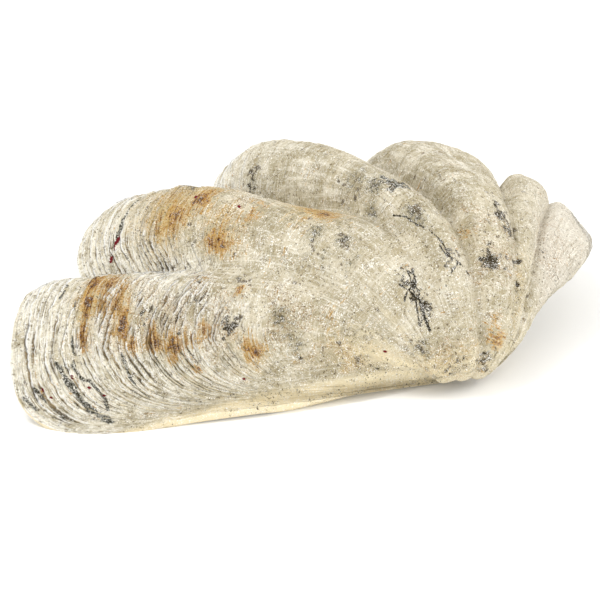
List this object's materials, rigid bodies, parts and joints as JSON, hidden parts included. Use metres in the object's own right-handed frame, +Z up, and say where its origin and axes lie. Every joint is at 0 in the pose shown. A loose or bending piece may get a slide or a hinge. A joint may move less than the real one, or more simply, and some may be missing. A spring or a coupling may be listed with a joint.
{
  "type": "giant clam shell",
  "caption": "One thick clam valve with deep rounded folds spreading from a low beak, lying hollow side down on its margin.",
  "frame": {"origin": "middle of the box round the valve, at the level it rests on", "axes": "+X along the valve towards its short end, +Y from the beak towards the folded margin, +Z up"},
  "size_m": [0.632, 0.4356, 0.1798],
  "materials": {
    "shell": "weathered ivory shell, chalky and pitted outside with grey-olive and rust stains, smooth and paler inside"
  },
  "bodies": {
    "root": {"valve": "shell"}
  },
  "joints": []
}
